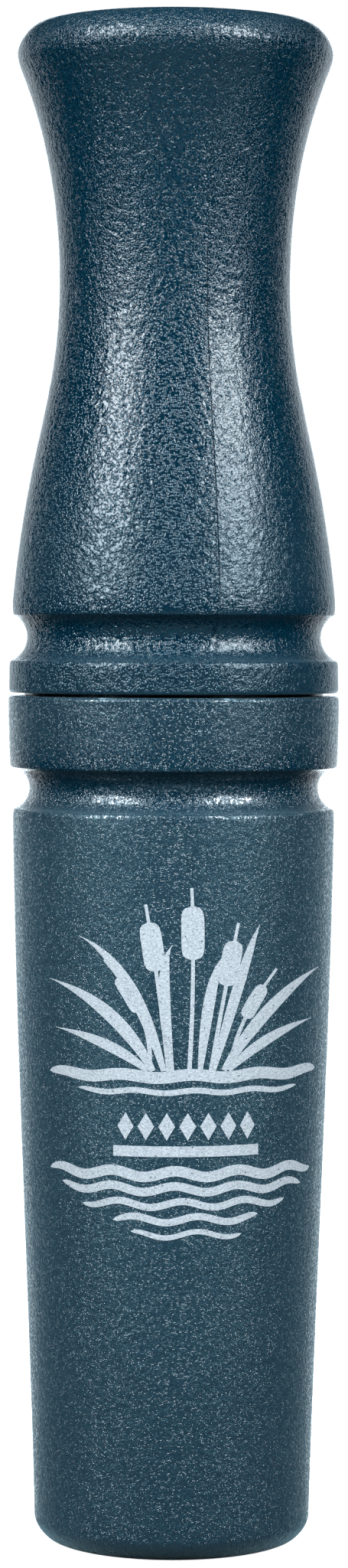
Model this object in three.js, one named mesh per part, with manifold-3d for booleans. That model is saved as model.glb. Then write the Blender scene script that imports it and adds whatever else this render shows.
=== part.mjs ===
// A waterfowl call with a short reed, in millimetres. The moulded barrel and end piece are both
// turned forms. The end piece's tenon carries two O-rings and plugs into the barrel's socket, and
// its bore holds the sounding parts: a tone trough, and a reed clamped on it by a wedge.
// The call stands upright: +Z runs from the mouth end, at z = 0, to the crest of the bell.
import * as THREE from 'three';
import { mergeVertices } from 'three/addons/utils/BufferGeometryUtils.js';
import Module from 'manifold-3d';

const wasm = await Module();
wasm.setup();

// How finely round forms are divided
const TURN_SEGMENTS = 48;
const CURVE_STEPS = 5;
const RING_STEPS = 5;

// Barrel: heights from the mouth end
const BARREL_LENGTH = 73;
const BARREL = {
  mouthEdgeR: 9.1, // inner and outer edges of the flat face at the mouth end
  mouthFaceR: 10.3,
  mouthEdgeZ: 1.2,
  footR: 11.93, // where the rounded foot meets the long taper
  footZ: 1.9,
  bodyR: 13.98, // where the taper ends, below the lanyard groove
  bodyZ: 62.3,
  collarR: 14.39, // the collar beside the end piece
  collarZ: 71.6,
  topEdge: 0.35,
  boreR: 7.9,
  socketR: 9.6, // takes the end piece's tenon
  socketDepth: 19,
  socketChamfer: 0.5,
};
const BARREL_GROOVE = { z: 65.13, floorR: 12.58, arcR: 1.88, lowerLipR: 13.97, upperLipR: 14.27 };

// End piece: heights from the shoulder that seats on the barrel
const SEAT_GAP = 0.05;
const END_PIECE = {
  landR: 13, // the shoulder bears on the barrel inside this radius
  reliefZ: 0.3, // and stands clear of it outside
  reliefR: 14,
  collarR: 14.34,
  collarZ: 1,
  neckR: 14.05, // top of the upper collar, where the flank begins
  neckZ: 8.2,
  waistR: 10.07,
  waistZ: 35.8,
  brimR: 13.37, // where the flare turns into the lip
  brimZ: 54.2,
  lipR: 13.76, // the widest point of the bell
  lipZ: 55.74,
  crestR: 11.7,
  crestInnerR: 11.2,
  crestZ: 58.3,
  bellR: 10.2, // inside of the bell, under the crest
  bellZ: 57,
  throatR: 4.4,
  throatZ: 24,
};
const COLLAR_GROOVE = { z: 5.3, floorR: 12.81, arcR: 2.2, lowerLipR: 14.32, upperLipR: 14.06 };

// Tenon and its O-rings: heights from the same shoulder
const TENON = { radius: 9.35, length: 18.6, chamfer: 0.5, ringRootR: 7.7, ringSlot: 2.3 };
const O_RING = { insideR: 7.75, section: 1.78 };
const O_RING_HEIGHTS = { o_ring_upper: -5.4, o_ring_lower: -13.8 };

// Bore for the sounding parts, open at the tenon's end
const GUT_BORE = { radius: 6.4, stopZ: 11 };

// Sounding parts: heights from their end against the bore's stop, so the tip is at -length
const STOP_GAP = 0.3;
const TROUGH = {
  radius: 6.3,
  length: 61.7,
  endChamfer: 0.4,
  tableY: -0.6, // the flat that the reed lies on
  bendZ: -37.7, // the table curves away from the reed from here to the tip
  tipDrop: 1.3,
  tipRound: 5,
  bellyZ: -46, // the round back thins from here to the tip
  bellyTipY: 3.6,
};
const CHANNEL = { startZ: -58, startY: 0.33, startR: 1.2, endY: 0.8, endR: 3 };
const REED = { width: 11.2, thickness: 0.25, tipZ: -61.1, endZ: -3.7, tipRound: 4.2, endRound: 0.8 };
const WEDGE = { frontZ: -31.7, noseHeight: 1, rampLength: 6.5 };
const LEAF_GAP = 0.03; // between the table and the reed, and between the reed and the wedge

// How far a rounded corner is pulled towards the square one: flatter than a circle's 0.55
const CORNER_PULL = 0.42;
// A groove's lip: how far in, and how far along, its edge is eased
const LIP_EASE = 0.2;
const LIP_RUN = 0.5;
// How far a cutter reaches past what it cuts
const OVERCUT = 1;

// Outlines in (radius, height), drawn up the outside of a piece and down its inside.

// Rounds a corner from an upright stretch to a level one.
function cornerToLevel(path, r, z) {
  const { x, y } = path.currentPoint;
  path.bezierCurveTo(x, y + CORNER_PULL * (z - y), r + CORNER_PULL * (x - r), z, r, z);
}

// Rounds a corner from a level stretch to an upright one.
function cornerToUpright(path, r, z) {
  const { x, y } = path.currentPoint;
  path.bezierCurveTo(x + CORNER_PULL * (r - x), y, r, z + CORNER_PULL * (y - z), r, z);
}

// A round-bottomed groove on the way up, with both lips eased into its arc.
function addGroove(path, { z, floorR, arcR, lowerLipR, upperLipR }) {
  const centreR = floorR + arcR;
  const lower = Math.acos((centreR - lowerLipR + LIP_EASE) / arcR);
  const upper = Math.acos((centreR - upperLipR + LIP_EASE) / arcR);
  const startZ = z - arcR * Math.sin(lower);
  const endZ = z + arcR * Math.sin(upper);
  const lowerLipZ = startZ - LIP_EASE / Math.tan(lower);
  const upperLipZ = endZ + LIP_EASE / Math.tan(upper);
  path.lineTo(lowerLipR, lowerLipZ - LIP_RUN);
  path.quadraticCurveTo(lowerLipR, lowerLipZ, lowerLipR - LIP_EASE, startZ);
  path.absarc(centreR, z, arcR, Math.PI + lower, Math.PI - upper, true);
  path.quadraticCurveTo(upperLipR, upperLipZ, upperLipR, upperLipZ + LIP_RUN);
}

function barrelOutline() {
  const b = BARREL;
  const socketFloor = BARREL_LENGTH - b.socketDepth;
  const path = new THREE.Path();
  path.moveTo(b.mouthFaceR, 0);
  cornerToUpright(path, b.footR, b.footZ);
  path.bezierCurveTo(12.53, 22, 13.66, 42.2, b.bodyR, b.bodyZ);
  addGroove(path, BARREL_GROOVE);
  path.lineTo(b.collarR, b.collarZ);
  path.lineTo(b.collarR, BARREL_LENGTH - b.topEdge);
  cornerToLevel(path, b.collarR - b.topEdge, BARREL_LENGTH);
  path.lineTo(b.socketR + b.socketChamfer, BARREL_LENGTH);
  path.lineTo(b.socketR, BARREL_LENGTH - b.socketChamfer);
  path.lineTo(b.socketR, socketFloor);
  path.lineTo(b.boreR, socketFloor);
  path.lineTo(b.boreR, b.mouthEdgeZ);
  cornerToLevel(path, b.mouthEdgeR, 0);
  path.closePath();
  return path;
}

function endPieceOutline() {
  const e = END_PIECE;
  const t = TENON;
  const path = new THREE.Path();
  path.moveTo(t.radius - t.chamfer, -t.length);
  path.lineTo(t.radius, t.chamfer - t.length);
  for (const ringZ of Object.values(O_RING_HEIGHTS).sort((a, b) => a - b)) {
    path.lineTo(t.radius, ringZ - t.ringSlot / 2);
    path.lineTo(t.ringRootR, ringZ - t.ringSlot / 2);
    path.lineTo(t.ringRootR, ringZ + t.ringSlot / 2);
    path.lineTo(t.radius, ringZ + t.ringSlot / 2);
  }
  path.lineTo(t.radius, SEAT_GAP);
  path.lineTo(e.landR, SEAT_GAP);
  path.lineTo(e.landR, e.reliefZ);
  path.lineTo(e.reliefR, e.reliefZ);
  cornerToUpright(path, e.collarR, e.collarZ);
  addGroove(path, COLLAR_GROOVE);
  path.lineTo(e.neckR, e.neckZ);
  path.bezierCurveTo(12.65, 22.7, e.waistR, 25.9, e.waistR, e.waistZ);
  path.bezierCurveTo(e.waistR, 43.3, 11.45, 49.4, e.brimR, e.brimZ);
  path.quadraticCurveTo(e.lipR, 55.17, e.lipR, e.lipZ);
  cornerToLevel(path, e.crestR, e.crestZ);
  path.lineTo(e.crestInnerR, e.crestZ);
  cornerToUpright(path, e.bellR, e.bellZ);
  path.bezierCurveTo(8.2, 48, e.throatR, 36, e.throatR, e.throatZ);
  path.lineTo(e.throatR, GUT_BORE.stopZ);
  path.lineTo(GUT_BORE.radius, GUT_BORE.stopZ);
  path.lineTo(GUT_BORE.radius, t.chamfer - t.length);
  path.lineTo(GUT_BORE.radius + t.chamfer, -t.length);
  path.closePath();
  return path;
}

function ringOutline() {
  const sectionR = O_RING.section / 2;
  const path = new THREE.Path();
  path.absarc(O_RING.insideR + sectionR, 0, sectionR, 0, 2 * Math.PI, false);
  return path;
}

// Turns an outline about the Z axis, leaving out any repeated point.
function turned(path, steps = CURVE_STEPS) {
  const points = path.getPoints(steps);
  const kept = points.filter((p, i) => i === 0 || p.distanceTo(points[i - 1]) > 1e-4);
  return new THREE.LatheGeometry(kept, TURN_SEGMENTS).rotateX(Math.PI / 2);
}

const X = new THREE.Vector3(1, 0, 0);
const Y = new THREE.Vector3(0, 1, 0);
const Z = new THREE.Vector3(0, 0, 1);

// Extrudes a (y, z) side view across X, centred on the axis.
function acrossX(shape, width) {
  const geometry = new THREE.ExtrudeGeometry(shape, { depth: width, bevelEnabled: false, curveSegments: 12 });
  return geometry.translate(0, 0, -width / 2).applyMatrix4(new THREE.Matrix4().makeBasis(Y, Z, X));
}

// Extrudes an (x, z) front view from y = back towards -Y.
function towardsFront(shape, back, depth) {
  const geometry = new THREE.ExtrudeGeometry(shape, { depth, bevelEnabled: false, curveSegments: 12 });
  const toFront = new THREE.Matrix4().makeBasis(X, Z, Y.clone().negate());
  return geometry.applyMatrix4(toFront).translate(0, back, 0);
}

// Solids for cutting and joining

function solid(geometry) {
  const bare = geometry.clone();
  bare.deleteAttribute('normal');
  bare.deleteAttribute('uv');
  const merged = mergeVertices(bare, 1e-4);
  return new wasm.Manifold(
    new wasm.Mesh({
      numProp: 3,
      vertProperties: merged.attributes.position.array,
      triVerts: new Uint32Array(merged.index.array),
    }),
  );
}

function geometryOf(manifold) {
  const { vertProperties, triVerts } = manifold.getMesh();
  const geometry = new THREE.BufferGeometry();
  geometry.setAttribute('position', new THREE.BufferAttribute(vertProperties, 3));
  geometry.setIndex(new THREE.BufferAttribute(triVerts, 1));
  return geometry.toNonIndexed();
}

// A round rod that fits the bore, from fromZ up to the stop end.
function gutRod(fromZ) {
  const path = new THREE.Path();
  path.moveTo(0, fromZ);
  path.lineTo(TROUGH.radius, fromZ);
  path.lineTo(TROUGH.radius, -TROUGH.endChamfer);
  path.lineTo(TROUGH.radius - TROUGH.endChamfer, 0);
  path.lineTo(0, 0);
  return solid(turned(path));
}

// All that lies in front of the table: flat at the stop end, and curving back to the tip.
function tableCutter() {
  const { tableY, tipDrop, bendZ, length, radius } = TROUGH;
  const front = -radius - OVERCUT;
  const shape = new THREE.Shape();
  shape.moveTo(front, OVERCUT);
  shape.lineTo(tableY, OVERCUT);
  shape.lineTo(tableY, bendZ);
  shape.quadraticCurveTo(tableY, (bendZ - length) / 2, tableY + tipDrop, -length);
  shape.lineTo(tableY + tipDrop, -length - OVERCUT);
  shape.lineTo(front, -length - OVERCUT);
  return solid(acrossX(shape, 2 * (radius + OVERCUT)));
}

// All that lies behind the thinned back, from the belly to the tip.
function bellyCutter() {
  const { radius, length, bellyZ, bellyTipY } = TROUGH;
  const behind = radius + OVERCUT;
  const shape = new THREE.Shape();
  shape.moveTo(radius, bellyZ);
  shape.quadraticCurveTo(radius, (bellyZ - length) / 2, bellyTipY, -length);
  shape.lineTo(bellyTipY, -length - OVERCUT);
  shape.lineTo(behind, -length - OVERCUT);
  shape.lineTo(behind, bellyZ);
  return solid(acrossX(shape, 2 * behind));
}

// The tongue-shaped front view that gives the trough its rounded tip.
function tipOutline() {
  const { radius, length, tipRound } = TROUGH;
  const halfWidth = radius + 0.4;
  const shape = new THREE.Shape();
  shape.moveTo(-halfWidth, OVERCUT);
  shape.lineTo(-halfWidth, tipRound - length);
  shape.absellipse(0, tipRound - length, halfWidth, tipRound, Math.PI, 2 * Math.PI, false);
  shape.lineTo(halfWidth, OVERCUT);
  return solid(towardsFront(shape, radius + OVERCUT, 2 * (radius + OVERCUT)));
}

// The tone channel: round-bottomed, widening and deepening from its blind nose to the stop end.
function channelCutter() {
  const { startZ, startY, startR, endY, endR } = CHANNEL;
  const run = OVERCUT - startZ;
  const floor = new THREE.Path();
  floor.absarc(0, 0, startR, -Math.PI / 2, 0, false);
  floor.lineTo(endR, run);
  floor.lineTo(0, run);
  const opening = new THREE.Shape();
  opening.moveTo(-endR, run);
  opening.lineTo(-startR, 0);
  opening.absarc(0, 0, startR, Math.PI, 2 * Math.PI, false);
  opening.lineTo(endR, run);
  const cutter = solid(turned(floor)).add(solid(towardsFront(opening, 0, TROUGH.radius + OVERCUT)));
  const slope = THREE.MathUtils.radToDeg(Math.atan2(endY - startY, run));
  return cutter.rotate([-slope, 0, 0]).translate([0, startY, startZ]);
}

function troughGeometry() {
  const blank = gutRod(-TROUGH.length).intersect(tipOutline());
  return geometryOf(blank.subtract(tableCutter()).subtract(bellyCutter()).subtract(channelCutter()));
}

// The half-round block behind the reed's free length, with a ramp down to its nose.
function wedgeGeometry() {
  const front = -TROUGH.radius - OVERCUT;
  const back = TROUGH.tableY - 2 * LEAF_GAP - REED.thickness;
  const shape = new THREE.Shape();
  shape.moveTo(back, OVERCUT);
  shape.lineTo(front, OVERCUT);
  shape.lineTo(front, WEDGE.frontZ + WEDGE.rampLength);
  shape.lineTo(back - WEDGE.noseHeight, WEDGE.frontZ);
  shape.lineTo(back, WEDGE.frontZ);
  const rod = gutRod(WEDGE.frontZ - OVERCUT);
  return geometryOf(rod.intersect(solid(acrossX(shape, 2 * (TROUGH.radius + OVERCUT)))));
}

// A flat strip with a rounded tip, lying on the table.
function reedGeometry() {
  const { width, thickness, tipZ, endZ, tipRound, endRound } = REED;
  const half = width / 2;
  const shape = new THREE.Shape();
  shape.moveTo(-half, tipZ + tipRound);
  shape.absellipse(0, tipZ + tipRound, half, tipRound, Math.PI, 2 * Math.PI, false);
  shape.lineTo(half, endZ - endRound);
  shape.quadraticCurveTo(half, endZ, half - endRound, endZ);
  shape.lineTo(endRound - half, endZ);
  shape.quadraticCurveTo(-half, endZ, -half, endZ - endRound);
  return towardsFront(shape, TROUGH.tableY - LEAF_GAP, thickness);
}

// Materials

const mouldedPlastic = new THREE.MeshStandardMaterial({ color: 0x1f3d54, roughness: 0.42, metalness: 0 });
const gutPlastic = new THREE.MeshStandardMaterial({ color: 0x17181a, roughness: 0.35, metalness: 0 });
const reedFilm = new THREE.MeshStandardMaterial({ color: 0xd9dde0, roughness: 0.25, metalness: 0 });
const wedgeRubber = new THREE.MeshStandardMaterial({ color: 0x8c8f8a, roughness: 0.7, metalness: 0 });
const ringRubber = new THREE.MeshStandardMaterial({ color: 0x101010, roughness: 0.55, metalness: 0 });

// Assembly

function piece(name, geometry, material) {
  const mesh = new THREE.Mesh(geometry, material);
  mesh.name = name;
  return mesh;
}

const guts = new THREE.Group();
guts.position.z = GUT_BORE.stopZ - STOP_GAP;
guts.add(
  piece('tone_trough', troughGeometry(), gutPlastic),
  piece('reed', reedGeometry(), reedFilm),
  piece('wedge', wedgeGeometry(), wedgeRubber),
);

const endAssembly = new THREE.Group();
endAssembly.position.z = BARREL_LENGTH;
endAssembly.add(piece('end_piece', turned(endPieceOutline()), mouldedPlastic), guts);
for (const [name, height] of Object.entries(O_RING_HEIGHTS)) {
  const ring = piece(name, turned(ringOutline(), RING_STEPS), ringRubber);
  ring.position.z = height;
  endAssembly.add(ring);
}

const call = new THREE.Group();
call.add(piece('barrel', turned(barrelOutline()), mouldedPlastic), endAssembly);

export default call;
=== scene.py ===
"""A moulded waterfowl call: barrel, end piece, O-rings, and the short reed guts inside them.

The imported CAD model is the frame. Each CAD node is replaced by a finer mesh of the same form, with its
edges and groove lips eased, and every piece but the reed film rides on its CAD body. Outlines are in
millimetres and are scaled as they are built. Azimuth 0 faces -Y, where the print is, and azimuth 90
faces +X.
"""
import math

import bmesh
import bpy
import numpy as np
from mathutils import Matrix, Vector


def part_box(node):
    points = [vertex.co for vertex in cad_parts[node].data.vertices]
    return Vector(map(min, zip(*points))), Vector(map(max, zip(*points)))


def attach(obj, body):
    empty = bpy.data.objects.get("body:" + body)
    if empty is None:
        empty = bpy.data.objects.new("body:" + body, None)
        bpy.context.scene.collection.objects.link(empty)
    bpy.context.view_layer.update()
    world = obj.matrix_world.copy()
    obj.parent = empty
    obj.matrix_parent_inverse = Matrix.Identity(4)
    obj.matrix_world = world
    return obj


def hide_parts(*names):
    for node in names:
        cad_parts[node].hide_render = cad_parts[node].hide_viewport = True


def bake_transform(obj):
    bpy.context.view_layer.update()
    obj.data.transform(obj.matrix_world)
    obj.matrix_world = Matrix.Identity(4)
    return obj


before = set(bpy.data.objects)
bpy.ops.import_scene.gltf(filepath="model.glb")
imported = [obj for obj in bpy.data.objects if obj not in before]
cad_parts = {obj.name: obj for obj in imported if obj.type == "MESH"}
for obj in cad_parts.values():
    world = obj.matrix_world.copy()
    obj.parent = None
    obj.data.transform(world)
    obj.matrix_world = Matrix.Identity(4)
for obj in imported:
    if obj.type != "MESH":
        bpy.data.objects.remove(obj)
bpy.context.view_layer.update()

MM = 0.001

# Heights that the pieces share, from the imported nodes, in millimetres
SHOULDER_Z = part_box("barrel")[1].z / MM
CREST_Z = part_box("end_piece")[1].z / MM
GUTS_STOP_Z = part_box("tone_trough")[1].z / MM

# Barrel: radii, and heights from the mouth end
MOUTH_EDGE_R = 9.1
MOUTH_FACE_R = 10.3
MOUTH_EDGE_Z = 1.2
FOOT_R = 11.93
FOOT_Z = 1.9
BODY_R = 13.98
BODY_Z = 62.3
COLLAR_R = 14.39
COLLAR_Z = 71.6
TOP_EDGE = 0.28
BORE_R = 7.9
SOCKET_R = 9.6
SOCKET_DEPTH = 19
SOCKET_CHAMFER = 0.5
BARREL_GROOVE = {"z": 64.96, "floor_r": 12.58, "arc_r": 1.88, "lower_r": 13.97, "upper_r": 14.27}

# End piece: radii, and heights from its shoulder
SEAT_GAP = 0.05
LAND_R = 13
RELIEF_Z = 0.3
RELIEF_R = 14.2
END_COLLAR_R = 14.34
END_COLLAR_Z = 0.62
NECK_R = 14.05
NECK_Z = 8.2
WAIST_R = 10.07
WAIST_Z = 35.8
BRIM_R = 13.37
BRIM_Z = 54.2
LIP_R = 13.76
LIP_Z = 55.74
CREST_R = 11.7
CREST_INNER_R = 11.2
BELL_R = 10.2
BELL_Z = 57
THROAT_R = 4.4
THROAT_Z = 24
COLLAR_GROOVE = {"z": 5.07, "floor_r": 12.81, "arc_r": 2.2, "lower_r": 14.32, "upper_r": 14.06}

# Tenon, its O-rings and the bore for the guts
TENON_R = 9.35
TENON_LENGTH = 18.6
TENON_CHAMFER = 0.5
RING_ROOT_R = 7.7
RING_SLOT = 2.3
RING_INSIDE_R = 7.75
RING_SECTION = 1.78
RING_SLACK = 0.02
FLASH = 0.03
FLASH_SPREAD = 0.12
GUT_BORE_R = 6.4
GUT_STOP_Z = 11

# Guts: heights from the stop end, so the tip is at -TROUGH_LENGTH; the reed faces -Y
TROUGH_R = 6.3
TROUGH_LENGTH = 61.7
TROUGH_CHAMFER = 0.4
TABLE_Y = -0.6
TABLE_BEND_Z = -37.7
TIP_DROP = 1.3
TIP_ROUND = 5
TIP_HALF_WIDTH = 6.7
BELLY_Z = -46
BELLY_TIP_Y = 3.6
CHANNEL_Z = -58
CHANNEL_Y = 0.33
CHANNEL_R = 1.2
CHANNEL_END_Y = 0.8
CHANNEL_END_R = 3
CHANNEL_LEAST_R = 0.02
TIP_CAP = 0.005
REED_WIDTH = 11.2
REED_THICKNESS = 0.25
REED_SHAVED = 0.14
REED_SHAVE_RUN = 13
REED_TIP_Z = -61.1
REED_END_Z = -3.7
REED_TIP_ROUND = 4.2
REED_END_ROUND = 0.8
REED_LEAST_HALF = 0.05
REED_BEVEL = 0.03
WEDGE_FRONT_Z = -31.7
WEDGE_NOSE = 1
WEDGE_RAMP = 6.5
WEDGE_RAMP_END_Y = -TROUGH_R - 1
WEDGE_EDGE = 0.3
LEAF_GAP = 0.03

# How corners and the lips of grooves are eased, and the short straight runs beside them
CORNER_PULL = 0.42
LIP_EASE = 0.2
UPPER_LIP_EASE = 0.13
LIP_RUN = 0.5
EDGE_RUN = 0.12

# How finely turned pieces are divided
COLUMNS = 300
RING_COLUMNS = 160
RING_STEPS = 28
WELD = 1e-6  # metres

# Mould marks: azimuths and widths in radians, depths and heights in millimetres
SEAM_AZ = math.radians(16)
SEAM_STEP = 0.05
SEAM_WIDTH = math.radians(0.35)
SEAM_DEPTH = 0.09
SEAM_START_Z = SHOULDER_Z + NECK_Z
SEAM_START_RUN = 1.5
SEAM_FADE_Z = SHOULDER_Z + 35
SEAM_FADE_RUN = 8
NICK_AZ = math.radians(15.8)
NICK_WIDTH = math.radians(0.45)
NICK_Z = SHOULDER_Z + 5.4
NICK_HEIGHT = 0.28
NICK_DEPTH = 0.22
SCRAPE_AZ = math.radians(27)
SCRAPE_WIDTH = math.radians(7)
SCRAPE_Z = SHOULDER_Z + 3.05
SCRAPE_HEIGHT = 0.22
SCRAPE_DEPTH = 0.05
BARREL_SEAM_AZ = math.radians(-26)
BARREL_SEAM_RIDGE = 0.015
BARREL_SEAM_BASE = 0.3  # how much of the ridge's height lies under the outline

# Pale wear on the barrel's top edge, partly a painted highlight: the middle and spread of each stretch,
# in degrees of azimuth
EDGE_WEAR_AND_HIGHLIGHT = ((-27, 4), (16, 6), (150, 9))
EDGE_WEAR_AND_HIGHLIGHT_Z = SHOULDER_Z - 0.05
EDGE_WEAR_AND_HIGHLIGHT_HEIGHT = 0.07

# The barrel's surface: its grain, from fine (0) to coarse (1), and how strong it is inside. The
# groove and the collar above it are less dull than the body.
BARREL_COARSENESS = 0.25
INNER_GRAIN = 0.15
BARREL_GROOVE_SHINE = {"centre": BARREL_GROOVE["z"] + 0.6, "width": 2.3}
BARREL_COLLAR_RUN = 3

# The end piece's surface changes between these heights above its shoulder
MOULDED_FROM = 0.5
COLLAR_GROOVE_SHINE = {"centre": COLLAR_GROOVE["z"] + 0.9, "width": 2.2}
DULL_FADE = (8, 26)
GLINT_RISE = (20, 36)
FINE_RISE = (22, 42)
FLARE_RISE = (24, 36)

# and between these heights from its crest
LIP_RISE = (-4, -2)
LIP_DULL_RISE = (-3, -1.5)

# Print on the barrel, in millimetres of arc and height
PRINT_AZ = math.radians(5.5)
PRINT_SPREAD = 1.14  # how much wider the motif is than drawn
PRINT_TOP_Z = SHOULDER_Z - 15.9
INK_PROUD = 0.03
INK_SUNK = 0.02
LEAST_STROKE = 0.02


# ---------------------------------------------------------------- outlines

class Outline:
    """Points in (radius, height), drawn as lines and curves."""

    def __init__(self, r, z):
        self.points = [(r, z)]

    def line(self, r, z, steps=1):
        r0, z0 = self.points[-1]
        for i in range(1, steps + 1):
            t = i / steps
            self.points.append((r0 + (r - r0) * t, z0 + (z - z0) * t))

    def curve(self, r1, z1, r2, z2, r3, z3, steps=8):
        r0, z0 = self.points[-1]
        for i in range(1, steps + 1):
            t = i / steps
            a, b, c, d = (1 - t) ** 3, 3 * t * (1 - t) ** 2, 3 * t * t * (1 - t), t ** 3
            self.points.append((a * r0 + b * r1 + c * r2 + d * r3, a * z0 + b * z1 + c * z2 + d * z3))

    def bend(self, r1, z1, r2, z2, steps=6):
        """A quadratic curve, written as the cubic that it equals."""
        r0, z0 = self.points[-1]
        self.curve(r0 + (r1 - r0) * 2 / 3, z0 + (z1 - z0) * 2 / 3,
                   r2 + (r1 - r2) * 2 / 3, z2 + (z1 - z2) * 2 / 3, r2, z2, steps)

    def corner_to_level(self, r, z, steps=8):
        r0, z0 = self.points[-1]
        self.curve(r0, z0 + CORNER_PULL * (z - z0), r + CORNER_PULL * (r0 - r), z, r, z, steps)

    def corner_to_upright(self, r, z, steps=8):
        r0, z0 = self.points[-1]
        self.curve(r0 + CORNER_PULL * (r - r0), z0, r, z + CORNER_PULL * (z0 - z), r, z, steps)

    def groove(self, z, floor_r, arc_r, lower_r, upper_r, steps=18):
        """A round-bottomed groove on the way up, with both lips eased into its arc."""
        centre_r = floor_r + arc_r
        lower = math.acos((centre_r - lower_r + LIP_EASE) / arc_r)
        upper = math.acos((centre_r - upper_r + UPPER_LIP_EASE) / arc_r)
        start_z = z - arc_r * math.sin(lower)
        end_z = z + arc_r * math.sin(upper)
        lower_z = start_z - LIP_EASE / math.tan(lower)
        upper_z = end_z + UPPER_LIP_EASE / math.tan(upper)
        self.line(lower_r, lower_z - LIP_RUN)
        self.bend(lower_r, lower_z, lower_r - LIP_EASE, start_z)
        for i in range(1, steps + 1):
            a = -lower + (lower + upper) * i / steps
            self.points.append((centre_r - arc_r * math.cos(a), z + arc_r * math.sin(a)))
        self.bend(upper_r, upper_z, upper_r, upper_z + LIP_RUN)

    def raised(self, height):
        return [(r, z + height) for r, z in self.points]


def barrel_outline():
    floor_z = SHOULDER_Z - SOCKET_DEPTH
    path = Outline(MOUTH_FACE_R, 0)
    path.corner_to_upright(FOOT_R, FOOT_Z, steps=10)
    path.curve(12.53, 22, 13.66, 42.2, BODY_R, BODY_Z, steps=44)
    path.groove(**BARREL_GROOVE)
    path.line(COLLAR_R, COLLAR_Z, steps=5)
    path.line(COLLAR_R, SHOULDER_Z - TOP_EDGE - EDGE_RUN, steps=2)
    path.line(COLLAR_R, SHOULDER_Z - TOP_EDGE)
    path.corner_to_level(COLLAR_R - TOP_EDGE, SHOULDER_Z, steps=5)
    path.line(SOCKET_R + SOCKET_CHAMFER, SHOULDER_Z, steps=3)
    path.line(SOCKET_R, SHOULDER_Z - SOCKET_CHAMFER)
    path.line(SOCKET_R, floor_z, steps=6)
    path.line(BORE_R, floor_z)
    path.line(BORE_R, MOUTH_EDGE_Z, steps=12)
    path.corner_to_level(MOUTH_EDGE_R, 0, steps=8)
    return path.points


def end_piece_outline():
    path = Outline(TENON_R - TENON_CHAMFER, -TENON_LENGTH)
    path.line(TENON_R, TENON_CHAMFER - TENON_LENGTH)
    for ring_z in sorted(ring_heights().values()):
        path.line(TENON_R, ring_z - RING_SLOT / 2, steps=2)
        path.line(RING_ROOT_R, ring_z - RING_SLOT / 2)
        path.line(RING_ROOT_R, ring_z + RING_SLOT / 2)
        path.line(TENON_R, ring_z + RING_SLOT / 2)
    path.line(TENON_R, SEAT_GAP)
    path.line(LAND_R, SEAT_GAP)
    path.line(LAND_R, RELIEF_Z)
    path.line(RELIEF_R, RELIEF_Z, steps=2)
    path.corner_to_upright(END_COLLAR_R, END_COLLAR_Z, steps=6)
    path.line(END_COLLAR_R, END_COLLAR_Z + EDGE_RUN)
    path.groove(**COLLAR_GROOVE)
    path.line(NECK_R, NECK_Z)
    path.curve(12.65, 22.7, WAIST_R, 25.9, WAIST_R, WAIST_Z, steps=34)
    path.curve(WAIST_R, 43.3, 11.45, 49.4, BRIM_R, BRIM_Z, steps=26)
    path.bend(LIP_R, 55.17, LIP_R, LIP_Z, steps=6)
    crest_z = CREST_Z - SHOULDER_Z
    path.corner_to_level(CREST_R, crest_z, steps=14)
    path.line(CREST_INNER_R, crest_z)
    path.corner_to_upright(BELL_R, BELL_Z, steps=8)
    path.curve(8.2, 48, THROAT_R, 36, THROAT_R, THROAT_Z, steps=24)
    path.line(THROAT_R, GUT_STOP_Z, steps=4)
    path.line(GUT_BORE_R, GUT_STOP_Z)
    path.line(GUT_BORE_R, TENON_CHAMFER - TENON_LENGTH, steps=8)
    path.line(GUT_BORE_R + TENON_CHAMFER, -TENON_LENGTH)
    return path.raised(SHOULDER_Z)


def ring_heights():
    """The middle height of each O-ring, from the shoulder."""
    heights = {}
    for node in ("o_ring_upper", "o_ring_lower"):
        low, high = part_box(node)
        heights[node] = (low.z + high.z) / 2 / MM - SHOULDER_Z
    return heights


def radius_at(outline, z):
    """The outside radius at a height: an outline runs up the outside first."""
    for (r0, z0), (r1, z1) in zip(outline, outline[1:]):
        if z0 <= z <= z1:
            return r0 + (r1 - r0) * (z - z0) / (z1 - z0)
    raise ValueError(f"no outline at height {z}")


# ---------------------------------------------------------------- meshes

def mesh_object(name, points, faces, sharp=35, zones=None):
    """A smooth-shaded mesh object from points in millimetres, with sharp edges past an angle."""
    mesh = bpy.data.meshes.new(name)
    mesh.from_pydata([Vector(p) * MM for p in points], [], faces)
    mesh.validate()
    mesh.shade_smooth()
    mesh.set_sharp_from_angle(angle=math.radians(sharp))
    for zone, values in (zones or {}).items():
        attribute = mesh.attributes.new(zone, "FLOAT", "POINT")
        attribute.data.foreach_set("value", np.array(values, np.float32))
    piece = bpy.data.objects.new(name, mesh)
    bpy.context.scene.collection.objects.link(piece)
    return piece


def even_azimuths(count):
    return [2 * math.pi * i / count - math.pi for i in range(count)]


def azimuths_with_marks(count, *marks):
    """Even azimuths, with extra columns across each narrow mark."""
    fine = [k * SEAM_WIDTH / 4 for k in range(-4, 5)]
    extra = [wrapped(mark + d) for mark in marks for d in fine]
    return sorted(set(even_azimuths(count)) | set(extra))


def wrapped(angle):
    """The same direction as an angle between -pi and pi."""
    return (angle + math.pi) % (2 * math.pi) - math.pi


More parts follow.
